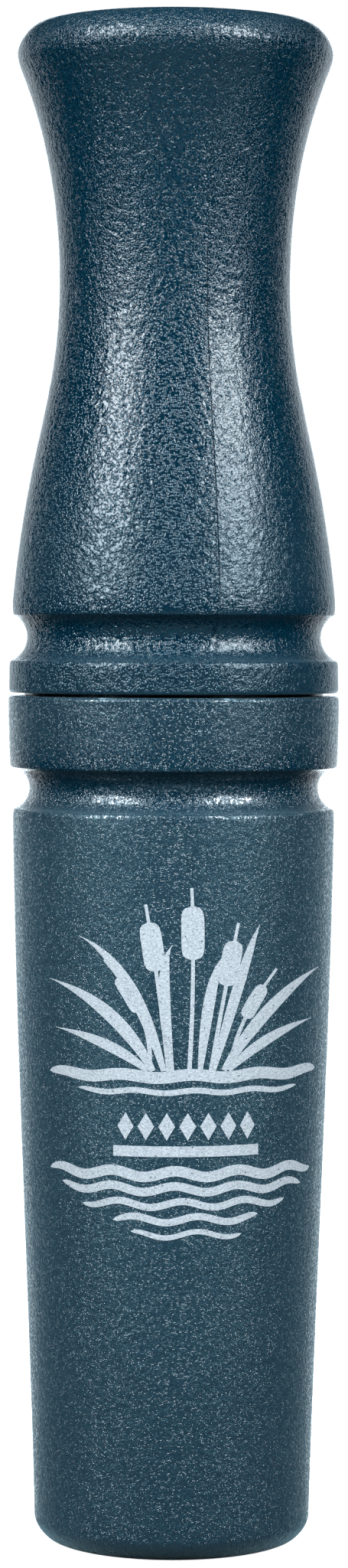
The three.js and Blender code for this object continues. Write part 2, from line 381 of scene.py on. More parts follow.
def turned(name, outline, azimuths, relief=None, zones=None):
    """Turns a closed outline about Z. relief(z, azimuth) moves an outside point in or out, in
    millimetres, and zones(z, azimuth, outside) gives each point its named values."""
    points, values, rows = [], {}, len(outline)
    outer = outside_count(outline)
    for azimuth in azimuths:
        across, along = math.sin(azimuth), -math.cos(azimuth)
        for i, (r, z) in enumerate(outline):
            outside = i < outer
            radius = r + (relief(z, azimuth) if relief and outside else 0)
            points.append((radius * across, radius * along, z))
            if zones:
                for key, value in zones(z, azimuth, outside).items():
                    values.setdefault(key, []).append(value)
    faces = []
    for c in range(len(azimuths)):
        this, other = c * rows, (c + 1) % len(azimuths) * rows
        for i in range(rows):
            j = (i + 1) % rows
            faces.append((this + i, other + i, other + j, this + j))
    return mesh_object(name, points, faces, zones=values)


def outside_count(outline):
    """How many of an outline's points are on the outside, from its start up to its highest point."""
    heights = [z for r, z in outline]
    return heights.index(max(heights)) + 1


def sections(name, rings, sharp=35):
    """Joins closed sections of equal point count in their order, and caps both ends."""
    points = [p for ring in rings for p in ring]
    count = len(rings[0])
    faces = []
    for k in range(len(rings) - 1):
        for i in range(count):
            j = (i + 1) % count
            faces.append((k * count + i, k * count + j, (k + 1) * count + j, (k + 1) * count + i))
    last = (len(rings) - 1) * count
    faces.append(tuple(range(count - 1, -1, -1)))
    faces.append(tuple(last + i for i in range(count)))
    piece = mesh_object(name, points, faces, sharp)
    weld(piece.data)
    return piece


def weld(mesh):
    """Merges the points that coincide, which they do where part of a section narrows to nothing."""
    shape = bmesh.new()
    shape.from_mesh(mesh)
    bmesh.ops.remove_doubles(shape, verts=shape.verts, dist=WELD)
    shape.to_mesh(mesh)
    shape.free()


def spaced(start, end, count):
    return [start + (end - start) * i / (count - 1) for i in range(count)]


def smooth_step(low, high, value):
    t = min(1, max(0, (value - low) / (high - low)))
    return t * t * (3 - 2 * t)


def hump(value, centre, width):
    return math.exp(-((value - centre) / width) ** 2)


# ---------------------------------------------------------------- moulded shells

def end_relief(z, azimuth):
    """The mould halves meet a little out of line. The groove has a nick beside the seam, and there is
    a shallow scrape under it."""
    past = wrapped(azimuth - SEAM_AZ)
    inset = -SEAM_STEP * abs(math.cos(past)) * seam_side(past)
    witness = smooth_step(SEAM_START_Z, SEAM_START_Z + SEAM_START_RUN, z)
    witness *= 1 - smooth_step(SEAM_FADE_Z, SEAM_FADE_Z + SEAM_FADE_RUN, z)
    line = -SEAM_DEPTH * witness * on_seam(past)
    nick = -NICK_DEPTH * hump(azimuth, NICK_AZ, NICK_WIDTH) * hump(z, NICK_Z, NICK_HEIGHT)
    scrape = -SCRAPE_DEPTH * hump(azimuth, SCRAPE_AZ, SCRAPE_WIDTH) * hump(z, SCRAPE_Z, SCRAPE_HEIGHT)
    return inset + line + nick + scrape


def seam_side(past):
    """0 on the left mould half and 1 on the right one, with a narrow rise at each seam."""
    if abs(past) < math.pi / 2:
        return smooth_step(-SEAM_WIDTH / 2, SEAM_WIDTH / 2, past)
    return smooth_step(-SEAM_WIDTH / 2, SEAM_WIDTH / 2, math.pi - abs(past)) if past > 0 else 0


def on_seam(past):
    """1 on the nearer of the two seams, front and back, and 0 away from them."""
    return hump(min(abs(past), math.pi - abs(past)), 0, SEAM_WIDTH / 3)


def barrel_relief(z, azimuth):
    """A fine raised witness line where the mould halves meet."""
    if not FOOT_Z < z < SHOULDER_Z - TOP_EDGE:
        return 0
    return BARREL_SEAM_RIDGE * (on_seam(wrapped(azimuth - BARREL_SEAM_AZ)) - BARREL_SEAM_BASE)


def end_zones(z, azimuth, outside):
    """The end piece's surface. Its right half has the finer grain, its flare and lip the strongest,
    and its collar and the lip's top the dullest skin. Glints begin towards the waist."""
    up = z - SHOULDER_Z
    to_crest = z - CREST_Z
    right = seam_side(wrapped(azimuth - SEAM_AZ))
    collar = (1 - smooth_step(*DULL_FADE, up)) * (1 - hump(up, **COLLAR_GROOVE_SHINE))
    grain = 1 + 0.3 * smooth_step(*FLARE_RISE, up) + 0.6 * smooth_step(*LIP_RISE, to_crest)
    return {
        "grain": grain if outside and up > MOULDED_FROM else INNER_GRAIN,
        "coarse": (1 - 0.6 * right) * (1 - 0.55 * smooth_step(*FINE_RISE, up)),
        "dull": 0.4 * collar + 0.15 * smooth_step(*LIP_DULL_RISE, to_crest),
        "sparkle": 0.2 * smooth_step(*GLINT_RISE, up) if outside else 0,
        "edge": 0,
    }


def barrel_zones(z, azimuth, outside):
    """The barrel's surface. It is dull all over, less on the collar and least in the groove, with glints
    on the whole outside and pale wear along the top edge, which is partly a painted highlight."""
    groove_z = BARREL_GROOVE["z"]
    groove = hump(z, **BARREL_GROOVE_SHINE)
    collar = smooth_step(groove_z, groove_z + BARREL_COLLAR_RUN, z)
    return {
        "grain": 1 if outside else INNER_GRAIN,
        "coarse": BARREL_COARSENESS,
        "dull": 1 - 0.9 * groove - 0.4 * collar,
        "sparkle": 1 if outside else 0,
        "edge": edge_wear_and_highlight(z, azimuth) if outside else 0,
    }


def edge_wear_and_highlight(z, azimuth):
    """How far the barrel's top edge is painted pale: partly rubbed wear, partly a painted highlight."""
    along = sum(hump(math.degrees(azimuth), middle, spread) for middle, spread in EDGE_WEAR_AND_HIGHLIGHT)
    return min(1, along) * hump(z, EDGE_WEAR_AND_HIGHLIGHT_Z, EDGE_WEAR_AND_HIGHLIGHT_HEIGHT)


def make_barrel(material):
    azimuths = azimuths_with_marks(COLUMNS, BARREL_SEAM_AZ, BARREL_SEAM_AZ + math.pi)
    piece = turned("barrel_shell", barrel_outline(), azimuths, barrel_relief, barrel_zones)
    piece.data.materials.append(material)
    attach(piece, "barrel")
    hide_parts("barrel")


def make_end_piece(material):
    azimuths = azimuths_with_marks(COLUMNS, SEAM_AZ, SEAM_AZ + math.pi)
    piece = turned("end_piece_shell", end_piece_outline(), azimuths, end_relief, end_zones)
    piece.data.materials.append(material)
    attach(piece, "end_piece")
    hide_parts("end_piece")


# ---------------------------------------------------------------- O-rings

def make_o_ring(node, height, material):
    """A moulded ring with the thin flash line round its outside and inside."""
    section_r = RING_SECTION / 2
    outline = []
    for i in range(RING_STEPS):
        a = 2 * math.pi * (i + 0.5) / RING_STEPS
        flash = FLASH * hump(math.sin(a), 0, FLASH_SPREAD)
        r = section_r - RING_SLACK + flash
        outline.append((RING_INSIDE_R + section_r + r * math.cos(a), height + r * math.sin(a)))
    piece = turned(node + "_seal", outline, even_azimuths(RING_COLUMNS))
    piece.data.materials.append(material)
    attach(piece, "o_rings")
    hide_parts(node)


# ---------------------------------------------------------------- guts

def table_y(z):
    """The table is flat to its bend, and then curves away from the reed towards the tip."""
    bend = max(0, (TABLE_BEND_Z - z) / (TABLE_BEND_Z + TROUGH_LENGTH))
    return TABLE_Y + TIP_DROP * bend ** 2


def belly_y(z):
    """The rod's back thins towards the tip."""
    bend = max(0, (BELLY_Z - z) / (BELLY_Z + TROUGH_LENGTH))
    return TROUGH_R - (TROUGH_R - BELLY_TIP_Y) * bend ** 2


def rod_radius(z):
    """The rod's radius, chamfered at the stop end."""
    return TROUGH_R - max(0, TROUGH_CHAMFER + z)


def tip_half_width(z):
    into_tip = max(0, TIP_ROUND - TROUGH_LENGTH - z) / TIP_ROUND
    return TIP_HALF_WIDTH * math.sqrt(max(0, 1 - into_tip ** 2))


def channel_at(z):
    """The y of the tone channel's centre, and its radius: a cone with a ball nose."""
    run = (z - CHANNEL_Z) / (1 - CHANNEL_Z)
    if run < 0:
        return CHANNEL_Y, math.sqrt(max(0, CHANNEL_R ** 2 - (z - CHANNEL_Z) ** 2))
    centre_y = CHANNEL_Y + (CHANNEL_END_Y - CHANNEL_Y) * run
    return centre_y, CHANNEL_R + (CHANNEL_END_R - CHANNEL_R) * run


def channel_section(z, steps=12):
    """From the channel's left lip, down round its floor, and up to the right lip."""
    centre_y, radius = channel_at(z)
    lip_y = table_y(z)
    drop = lip_y - centre_y
    if radius <= max(CHANNEL_LEAST_R, drop):
        return [(0, lip_y)] * (steps + 3)
    lip_x = radius if drop < 0 else math.sqrt(radius ** 2 - drop ** 2)
    start = math.pi if drop < 0 else math.pi - math.asin(drop / radius)
    floor = [(radius * math.cos(a), centre_y + radius * math.sin(a))
             for a in spaced(start, math.pi - start, steps + 1)]
    return [(-lip_x, lip_y)] + floor + [(lip_x, lip_y)]


def trough_section(z, back_steps=44, table_steps=4):
    """Along the table from left to right, through the channel, and back round the rod."""
    y = table_y(z)
    radius = rod_radius(z)
    half = min(math.sqrt(radius ** 2 - y ** 2), tip_half_width(z))
    channel = channel_section(z)
    left = [(x, y) for x in spaced(-half, channel[0][0], table_steps)[:-1]]
    right = [(x, y) for x in spaced(channel[-1][0], half, table_steps)[1:]]
    start = math.asin(y / radius)
    width = tip_half_width(z)
    back = []
    for a in spaced(start, math.pi - start, back_steps)[1:-1]:
        x = max(-width, min(width, radius * math.cos(a)))
        back.append((x, max(y, min(belly_y(z), radius * math.sin(a)))))
    return [(*point, z + GUTS_STOP_Z) for point in left + channel + right + back]


def trough_heights():
    """Heights of the sections from the stop end to the tip, closer where the form curves."""
    plain = spaced(0, -TROUGH_CHAMFER, 3) + spaced(-1.2, TABLE_BEND_Z, 24)
    curved = spaced(TABLE_BEND_Z, CHANNEL_Z, 26)[1:]
    nose = [CHANNEL_Z - CHANNEL_R * math.sin(a) for a in spaced(0, math.pi / 2, 9)][1:]
    tip_start = CHANNEL_Z - CHANNEL_R
    tip = [tip_start - (TROUGH_LENGTH + tip_start) * math.sin(a) for a in spaced(0, math.pi / 2, 12)][1:]
    return plain + curved + nose + tip[:-1] + [TIP_CAP - TROUGH_LENGTH]


def make_trough(material):
    rings = [trough_section(z) for z in reversed(trough_heights())]
    piece = sections("tone_trough_body", rings, sharp=40)
    piece.data.materials.append(material)
    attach(piece, "guts")
    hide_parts("tone_trough")


def wedge_section(z, inset, steps=30):
    """The half-round block between the reed and the bore, cut back by its ramp."""
    back = TABLE_Y - 2 * LEAF_GAP - REED_THICKNESS - inset
    radius = rod_radius(z) - inset
    front = -radius
    if z < WEDGE_FRONT_Z + WEDGE_RAMP:
        part = (z - WEDGE_FRONT_Z) / WEDGE_RAMP
        nose = back - WEDGE_NOSE
        front = max(front, nose + (WEDGE_RAMP_END_Y - nose) * part + inset)
    start = math.asin(back / radius)
    section = []
    for a in spaced(start, -math.pi - start, steps):
        section.append((radius * math.cos(a), max(front, radius * math.sin(a))))
    corner = WEDGE_EDGE / 2
    section[0] = (section[0][0] - corner, section[0][1])
    section[-1] = (section[-1][0] + corner, section[-1][1])
    return [(x, y, z + GUTS_STOP_Z) for x, y in section]


def make_wedge(material):
    """Sections from the stop end down to the nose. Each is a height and how far it is drawn in, which
    eases the edges at both ends."""
    ramp_z = WEDGE_FRONT_Z + WEDGE_RAMP
    stop_end = [(0, 0.18), (-0.12, 0.1), (-WEDGE_EDGE, 0)]
    block = [(z, 0) for z in spaced(-1.5, ramp_z, 14)]
    ramp = [(z, 0) for z in spaced(ramp_z, WEDGE_FRONT_Z + WEDGE_EDGE, 12)[1:]]
    nose_end = [(WEDGE_FRONT_Z + 0.08, 0.06), (WEDGE_FRONT_Z, 0.2)]
    rings = [wedge_section(z, inset) for z, inset in stop_end + block + ramp + nose_end]
    piece = sections("wedge_block", rings, sharp=50)
    piece.data.materials.append(material)
    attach(piece, "wedge")
    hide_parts("wedge")


def reed_half_width(z):
    """Half the film's width: an oval tip, and small round corners at the other end."""
    into_tip = max(0, REED_TIP_Z + REED_TIP_ROUND - z) / REED_TIP_ROUND
    into_end = max(0, z - REED_END_Z + REED_END_ROUND) / REED_END_ROUND
    oval = REED_WIDTH / 2 * math.sqrt(max(0, 1 - into_tip ** 2))
    corner = REED_END_ROUND * (1 - math.sqrt(max(0, 1 - into_end ** 2)))
    return max(REED_LEAST_HALF, oval - corner)


def reed_thickness(z):
    """The film is shaved thinner towards its tip, on the side away from the table."""
    shave = 1 - smooth_step(REED_TIP_Z, REED_TIP_Z + REED_SHAVE_RUN, z)
    return REED_THICKNESS - (REED_THICKNESS - REED_SHAVED) * shave


def make_reed(material):
    """One film, in sections from its oval tip to its rounded other end."""
    tip = [REED_TIP_Z + REED_TIP_ROUND * (1 - math.cos(a)) for a in spaced(0.04, math.pi / 2, 14)]
    blade = spaced(REED_TIP_Z + REED_TIP_ROUND, REED_END_Z - REED_END_ROUND, 60)[1:]
    end = [REED_END_Z - REED_END_ROUND * (1 - math.sin(a)) for a in spaced(0, math.pi / 2 - 0.1, 6)][1:]
    columns = 16
    rings = []
    for z in tip + blade + end:
        half = reed_half_width(z)
        bevelled = half - REED_BEVEL
        under = TABLE_Y - LEAF_GAP
        over = under - reed_thickness(z)
        section = [(x, under) for x in spaced(-half, half, columns)]
        section += [(x, over) for x in spaced(bevelled, -bevelled, columns)]
        rings.append([(x, y, z + GUTS_STOP_Z) for x, y in reversed(section)])
    piece = sections("reed_film", rings, sharp=50)
    piece.data.materials.append(material)
    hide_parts("reed")
    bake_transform(piece)


# ---------------------------------------------------------------- print

class Print:
    """Collects flat ink shapes, in (arc, height) millimetres, as thin raised solids on the barrel."""

    def __init__(self, outline):
        self.outline = outline
        self.points = []
        self.faces = []

    def place(self, arc, height, proud):
        radius = radius_at(self.outline, height)
        azimuth = PRINT_AZ + arc * PRINT_SPREAD / radius
        return ((radius + proud) * math.sin(azimuth), -(radius + proud) * math.cos(azimuth), height)

    def add(self, rows):
        """A patch from rows of (arc, height) points, with walls down into the barrel."""
        count, columns = len(rows), len(rows[0])
        first = len(self.points)
        for proud in (INK_PROUD, -INK_SUNK):
            self.points += [self.place(a, h, proud) for row in rows for a, h in row]
        under = first + count * columns

        def at(k, i):
            return first + k * columns + i

        for k in range(count - 1):
            for i in range(columns - 1):
                quad = (at(k, i), at(k, i + 1), at(k + 1, i + 1), at(k + 1, i))
                self.faces.append(quad)
                self.faces.append(tuple(v - first + under for v in reversed(quad)))
        rim = [at(0, i) for i in range(columns)]
        rim += [at(k, columns - 1) for k in range(1, count)]
        rim += [at(count - 1, i) for i in range(columns - 2, -1, -1)]
        rim += [at(k, 0) for k in range(count - 2, 0, -1)]
        for v, w in zip(rim, rim[1:] + rim[:1]):
            self.faces.append((v, v - first + under, w - first + under, w))

    def stroke(self, path, half_width, steps=20, columns=3):
        """A stroke along path(t), half_width(t) wide on each side, for t from 0 to 1."""
        rows = []
        near = 0.01
        for t in spaced(0, 1, steps):
            x, z = path(t)
            x0, z0 = path(max(0, t - near))
            x1, z1 = path(min(1, t + near))
            length = math.hypot(x1 - x0, z1 - z0)
            nx, nz = (z1 - z0) / length, (x0 - x1) / length
            w = max(LEAST_STROKE, half_width(t))
            rows.append([(x - nx * w * s, z - nz * w * s) for s in spaced(1, -1, columns)])
        self.add(rows)


def bezier(p0, p1, p2):
    """A path bent towards p1."""
    def path(t):
        a, b, c = (1 - t) ** 2, 2 * t * (1 - t), t * t
        return a * p0[0] + b * p1[0] + c * p2[0], a * p0[1] + b * p1[1] + c * p2[1]
    return path


def tapered(half_width):
    """A leaf's outline: widest two fifths of the way up, and pointed at its end."""
    return lambda t: half_width * (0.35 + 2.42 * t * (1 - t)) * (1 - t ** 3)


def cattail(ink, foot, top, lean, head_length, head_half_width):
    """A stalk with a rounded head and a short spike above it."""
    spike = 1.5
    x0, z0 = foot
    x1, z1 = top
    path = bezier(foot, (x0 + lean, (z0 + z1) / 2), top)
    ink.stroke(path, lambda t: 0.17 - 0.05 * t, steps=22)
    length = math.hypot(x1 - x0, z1 - z0)
    span = head_length / length
    gap = spike / length

    def head(t):
        return path(1 - gap - span * (1 - t))

    def head_width(t):
        return head_half_width * math.sqrt(max(0, 1 - (2 * t - 1) ** 6))

    ink.stroke(head, head_width, steps=24, columns=5)


def leaf(ink, foot, bow, tip, half_width):
    ink.stroke(bezier(foot, bow, tip), tapered(half_width), steps=26, columns=5)


def ripple(ink, left, right, height, wave, waves, half_width, phase=0):
    """A water line: a wavy stroke that thins towards both ends."""
    def path(t):
        x = left + (right - left) * t
        return x, height + wave * math.sin(2 * math.pi * waves * t + phase)

    def width(t):
        return half_width * math.sqrt(max(0, 1 - (2 * t - 1) ** 8))

    ink.stroke(path, width, steps=int(14 * waves) + 10)


def diamond(ink, x, z, half_width, half_height):
    rows = []
    for t in spaced(-1, 1, 9):
        w = max(0.01, half_width * (1 - abs(t)))
        rows.append([(x + w * s, z + half_height * t) for s in spaced(-1, 1, 5)])
    ink.add(rows)


def bar(ink, left, right, low, high):
    ink.add([[(x, z) for x in spaced(left, right, 24)] for z in spaced(low, high, 3)])


# Cattails: place of the top across the print, height, lean, head length, half width of the head
CATTAILS = (
    (-6.4, 9.3, 0.5, 3.2, 0.62),
    (-3.2, 14.0, -0.7, 4.2, 0.8),
    (0.2, 15.4, 0.4, 4.6, 0.86),
    (3.8, 12.4, 0.9, 3.9, 0.78),
    (7.2, 8.4, 0.2, 3.0, 0.6),
)
STALK_GATHER = 0.45

# Leaves: places of the foot, the bow and the tip across the print, height, half width
LEAVES = (
    (-2.6, -5.6, -11.6, 7.4, 0.62),
    (-1.8, -4.2, -8.6, 11.2, 0.55),
    (-1.2, -2.4, -1.2, 10.6, 0.5),
    (0.9, 1.6, 2.6, 9.6, 0.5),
    (1.9, 4.6, 5.6, 12.2, 0.5),
    (2.7, 6.6, 12.6, 8.2, 0.62),
    (3.1, 6.2, 11.4, 3.9, 0.5),
    (-3.0, -6.0, -10.9, 3.3, 0.5),
)
LEAF_BOW = 0.85

# Ripples under the rule: half length, and half width of the line
RIPPLES = ((11.6, 0.44), (10.2, 0.36), (8.2, 0.3), (5.6, 0.3), (4.2, 0.22))
RIPPLE_STEP = 1.28
RIPPLE_PHASE = 1.9
WAVES_PER_MM = 0.42

DIAMONDS = 7
DIAMOND_STEP = 1.55


def make_print(material):
    """A generic marsh motif: cattails and leaves over water, diamonds on a rule, and ripples."""
    ink = Print(barrel_outline())
    root = PRINT_TOP_Z - 15.4
    diamonds_z = PRINT_TOP_Z - 20.1
    rule_z = PRINT_TOP_Z - 22.65
    ripples_z = PRINT_TOP_Z - 24.1
    for x, height, lean, head_length, head_half_width in CATTAILS:
        cattail(ink, (x * STALK_GATHER, root), (x, root + height), lean, head_length, head_half_width)
    for x, bow, tip, height, half_width in LEAVES:
        leaf(ink, (x, root), (bow, root + height * LEAF_BOW), (tip, root + height), half_width)
    ripple(ink, -11.6, 12.2, root - 0.45, wave=0.14, waves=4.5, half_width=0.5)
    ripple(ink, -8.6, 9.4, root - 1.75, wave=0.12, waves=4, half_width=0.24, phase=1.4)
    for k in range(DIAMONDS):
        diamond(ink, DIAMOND_STEP * (k - DIAMONDS // 2), diamonds_z, half_width=0.62, half_height=1.15)
    bar(ink, -5.6, 5.6, rule_z, rule_z + 0.9)
    for k, (half, half_width) in enumerate(RIPPLES):
        ripple(ink, -half, half, ripples_z - RIPPLE_STEP * k, wave=0.26, waves=half * WAVES_PER_MM,
               half_width=half_width, phase=k * RIPPLE_PHASE)
    piece = mesh_object("barrel_print", ink.points, ink.faces, sharp=60)
    piece.data.materials.append(material)
    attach(piece, "barrel")


# ---------------------------------------------------------------- materials

# Colours are linear RGBA, and a pair runs from dark to pale
# The pit colours are painted shade: the plastic darkened where the pits between the grain's domes lie in
# shade.
PLASTIC_PIT_SHADE = (0.0004, 0.011, 0.021, 1)
PLASTIC = (0.001, 0.023, 0.038, 1)
DULL_PIT_SHADE = (0.001, 0.011, 0.021, 1)
DULL = (0.003, 0.021, 0.034, 1)
# Pale colour for the top edge: partly wear, partly a painted highlight.
PALE_WEAR_AND_HIGHLIGHT = (0.20, 0.30, 0.36, 1)
BLOOM = (0.6, 0.9, 1, 1)
WHITE = (1, 1, 1, 1)
INK = (0.31, 0.32, 0.335, 1)
INK_BRIGHT = (0.40, 0.41, 0.425, 1)
GUT_BLACKS = ((0.006, 0.0065, 0.007, 1), (0.013, 0.014, 0.015, 1))
FILM_GREYS = ((0.24, 0.27, 0.28, 1), (0.31, 0.34, 0.35, 1))
WEDGE_GREYS = ((0.22, 0.23, 0.215, 1), (0.30, 0.31, 0.29, 1))
RING_BLACKS = ((0.004, 0.004, 0.004, 1), (0.011, 0.011, 0.012, 1))
FLOOR_WHITES = ((0.84, 0.84, 0.84, 1), (0.86, 0.86, 0.86, 1))

# Scales of the grain and the uneven skin, in domes or patches per metre
COARSE_DOMES = 4700
FINE_DOMES = 6800
GLINT_DOMES = 6600
GLINT_PATCHES = 4400
TALL_PATCHES = 2500
SWELL_PATCHES = 1700
WEAR_AND_HIGHLIGHT_PATCHES = 1500
GLOSS_PATCHES = 420
INK_GRAIN = 5200
GUT_SCRATCHES = 2600
GUT_PATCHES = 500
FILM_GRAIN = 5200
FILM_HAZE = 700
WEDGE_SKIN = 3200
WEDGE_PATCHES = 380
RING_SKIN = 4200
FLOOR_PATCHES = 30

DOME_DEPTH = 0.27  # how far the valleys lie below the tops, as a squared distance
NOISE_SPAN = (0.3, 0.7)  # where nearly all of a noise lies

# Roughness, as a value or from low to high
GLOSSY = 0.11
SATIN = 0.39
GLOSS_CHANGE = (-0.02, 0.03)
GLINT_ROUGHNESS = 0.065
INK_ROUGHNESS = 0.45
GUT_ROUGHNESS = (0.26, 0.42)
FILM_ROUGHNESS = (0.18, 0.34)
WEDGE_ROUGHNESS = (0.6, 0.78)
RING_ROUGHNESS = (0.38, 0.55)
FLOOR_ROUGHNESS = 0.9

# How deep each bump is, in metres
COARSE_BUMP = 0.00015
FINE_BUMP = 0.00008
GLINT_BUMP = 0.00012
INK_BUMP = 0.00005
SCRATCH_BUMP = 0.000012
FILM_BUMP = 0.000006
WEDGE_BUMP = 0.00002
RING_BUMP = 0.000012


class Tree:
    """A short way to add nodes to a material: a plain value sets an input and a socket links to it."""

    def __init__(self, name):
        self.material = bpy.data.materials.new(name)
        self.material.use_nodes = True
        self.tree = self.material.node_tree
        self.shader = next(n for n in self.tree.nodes if n.type == "BSDF_PRINCIPLED")
        self.coords = self.tree.nodes.new("ShaderNodeTexCoord").outputs["Object"]

    def feed(self, socket, value):
        if isinstance(value, bpy.types.NodeSocket):
            self.tree.links.new(value, socket)
        else:
            socket.default_value = value

    def set(self, node, **inputs):
        for key, value in inputs.items():
            self.feed(node.inputs[key.replace("_", " ")], value)

    def noise(self, scale, detail=0):
        node = self.tree.nodes.new("ShaderNodeTexNoise")
        self.set(node, Vector=self.coords, Scale=scale, Detail=detail)
        return node.outputs["Fac"]

    def domes(self, scale):
        """Scattered domes with flat valleys: how far each point lies below the nearest one's top."""
        node = self.tree.nodes.new("ShaderNodeTexVoronoi")
        self.set(node, Vector=self.coords, Scale=scale)
        return self.math("MINIMUM", self.math("POWER", node.outputs["Distance"], 2), DOME_DEPTH)

    def zone(self, name):
        """One of the named values that the mesh carries on its points."""
        node = self.tree.nodes.new("ShaderNodeAttribute")
        node.attribute_name = name
        return node.outputs["Fac"]

    def math(self, operation, a, b):
        node = self.tree.nodes.new("ShaderNodeMath")
        node.operation = operation
        self.feed(node.inputs[0], a)
        self.feed(node.inputs[1], b)
        return node.outputs[0]

    def spread(self, value, low, high, to_low=0, to_high=1):
        """Takes low to to_low and high to to_high, with a smooth step between."""
        node = self.tree.nodes.new("ShaderNodeMapRange")
        node.interpolation_type = "SMOOTHSTEP"
        self.set(node, Value=value, From_Min=low, From_Max=high, To_Min=to_low, To_Max=to_high)
        return node.outputs["Result"]

    def between(self, factor, a, b):
        """a where factor is 0, b where it is 1."""
        node = self.tree.nodes.new("ShaderNodeMapRange")
        self.set(node, Value=factor, To_Min=a, To_Max=b)
        return node.outputs["Result"]

    def colour(self, factor, a, b):
        """Colour a where factor is 0, b where it is 1. Inputs 6 and 7 are the node's colour ones."""
        node = self.tree.nodes.new("ShaderNodeMix")
        node.data_type = "RGBA"
        for index, value in ((0, factor), (6, a), (7, b)):
            self.feed(node.inputs[index], value)
        return node.outputs[2]

    def bump(self, height, distance):
        node = self.tree.nodes.new("ShaderNodeBump")
        self.set(node, Height=height, Distance=distance)
        return node.outputs["Normal"]


def moulded_plastic():
    """Spark-eroded grain: small round pebbles of uneven height, with painted shade darkening the pits
    between them. Dull zones have a thin bloom, and patches of a glossy coat give the glints. The pale
    wear on the barrel's top edge is partly a painted highlight."""
    t = Tree("moulded_plastic")
    grain, coarseness, dull, edge = (t.zone(name) for name in ("grain", "coarse", "dull", "edge"))
    fall = t.between(coarseness, t.domes(FINE_DOMES), t.domes(COARSE_DOMES))
    swell = t.math("MULTIPLY", t.noise(SWELL_PATCHES, detail=1), 0.7)
    tall = t.spread(t.noise(TALL_PATCHES, detail=1), 0.52, 0.66)
    height = t.math("SUBTRACT", swell, t.math("MULTIPLY", fall, t.between(tall, 0.75, 1.5)))
    depth = t.math("MULTIPLY", t.between(coarseness, FINE_BUMP, COARSE_BUMP), grain)
    depth = t.math("MULTIPLY", depth, t.between(dull, 1, 1.05))
    # Painted shade: the colour darkens towards the valleys between the domes.
    pits = t.spread(fall, 0.1, DOME_DEPTH)
    colour = t.colour(pits, t.colour(dull, PLASTIC, DULL), t.colour(dull, PLASTIC_PIT_SHADE, DULL_PIT_SHADE))
    # Painted highlight mixed with wear: pale flecks along the barrel's top edge.
    wear_and_highlight = t.math("MULTIPLY", edge, t.spread(t.noise(WEAR_AND_HIGHLIGHT_PATCHES, detail=3), 0.5, 0.6))
    colour = t.colour(wear_and_highlight, colour, PALE_WEAR_AND_HIGHLIGHT)
    gloss_change = t.spread(t.noise(GLOSS_PATCHES, detail=3), *NOISE_SPAN, *GLOSS_CHANGE)
    roughness = t.math("ADD", t.between(dull, GLOSSY, SATIN), gloss_change)
    roughness = t.math("ADD", roughness, t.math("MULTIPLY", wear_and_highlight, 0.2))
    t.set(t.shader, Base_Color=colour, Roughness=roughness, Normal=t.bump(height, depth))
    t.set(t.shader, Specular_Tint=t.colour(dull, WHITE, BLOOM))
    t.set(t.shader, Sheen_Weight=t.between(dull, 0, 0.33), Sheen_Roughness=0.5, Sheen_Tint=BLOOM)
    glints = t.math("MULTIPLY", t.zone("sparkle"), t.spread(t.noise(GLINT_PATCHES), 0.53, 0.63))
    t.set(t.shader, Coat_Weight=glints, Coat_Roughness=GLINT_ROUGHNESS, Coat_IOR=1.8)
    t.set(t.shader, Coat_Normal=t.bump(t.domes(GLINT_DOMES), GLINT_BUMP))
    return t.material


def print_ink():
    """Pad-printed ink, which follows the grain and is missing from a few of its pits."""
    t = Tree("print_ink")
    skin = t.noise(INK_GRAIN, detail=2)
    colour = t.colour(t.spread(skin, 0.35, 0.6), INK_BRIGHT, INK)
    colour = t.colour(t.spread(skin, 0.67, 0.74), colour, DULL)
    normal = t.bump(t.math("MULTIPLY", t.domes(INK_GRAIN), -1), INK_BUMP)
    t.set(t.shader, Base_Color=colour, Roughness=INK_ROUGHNESS, Normal=normal)
    return t.material


def gut_plastic():
    """Smooth black plastic with fine handling scratches."""
    t = Tree("gut_plastic")
    scratches = t.noise(GUT_SCRATCHES, detail=3)
    colour = t.colour(t.noise(GUT_PATCHES, detail=2), *GUT_BLACKS)
    roughness = t.spread(scratches, *NOISE_SPAN, *GUT_ROUGHNESS)
    normal = t.bump(scratches, SCRATCH_BUMP)
    t.set(t.shader, Base_Color=colour, Roughness=roughness, Normal=normal)
    return t.material


def reed_film():
    """Hazy polyester film that lets a little light in."""
    t = Tree("reed_film")
    haze = t.noise(FILM_HAZE, detail=3)
    colour = t.colour(haze, *FILM_GREYS)
    roughness = t.spread(haze, *NOISE_SPAN, *FILM_ROUGHNESS)
    normal = t.bump(t.noise(FILM_GRAIN, detail=2), FILM_BUMP)
    t.set(t.shader, Base_Color=colour, Roughness=roughness, Normal=normal)
    t.set(t.shader, Subsurface_Weight=0.15, Subsurface_Scale=0.0005)
    return t.material


def wedge_rubber():
    """Matt grey rubber with a fine uneven skin."""
    t = Tree("wedge_rubber")
    skin = t.noise(WEDGE_SKIN, detail=3)
    colour = t.colour(t.noise(WEDGE_PATCHES, detail=2), *WEDGE_GREYS)
    roughness = t.spread(skin, *NOISE_SPAN, *WEDGE_ROUGHNESS)
    normal = t.bump(skin, WEDGE_BUMP)
    t.set(t.shader, Base_Color=colour, Roughness=roughness, Normal=normal)
    return t.material


def ring_rubber():
    """Black moulded rubber with a satin skin."""
    t = Tree("ring_rubber")
    skin = t.noise(RING_SKIN, detail=2)
    colour = t.colour(skin, *RING_BLACKS)
    roughness = t.spread(skin, *NOISE_SPAN, *RING_ROUGHNESS)
    normal = t.bump(skin, RING_BUMP)
    t.set(t.shader, Base_Color=colour, Roughness=roughness, Normal=normal)
    return t.material


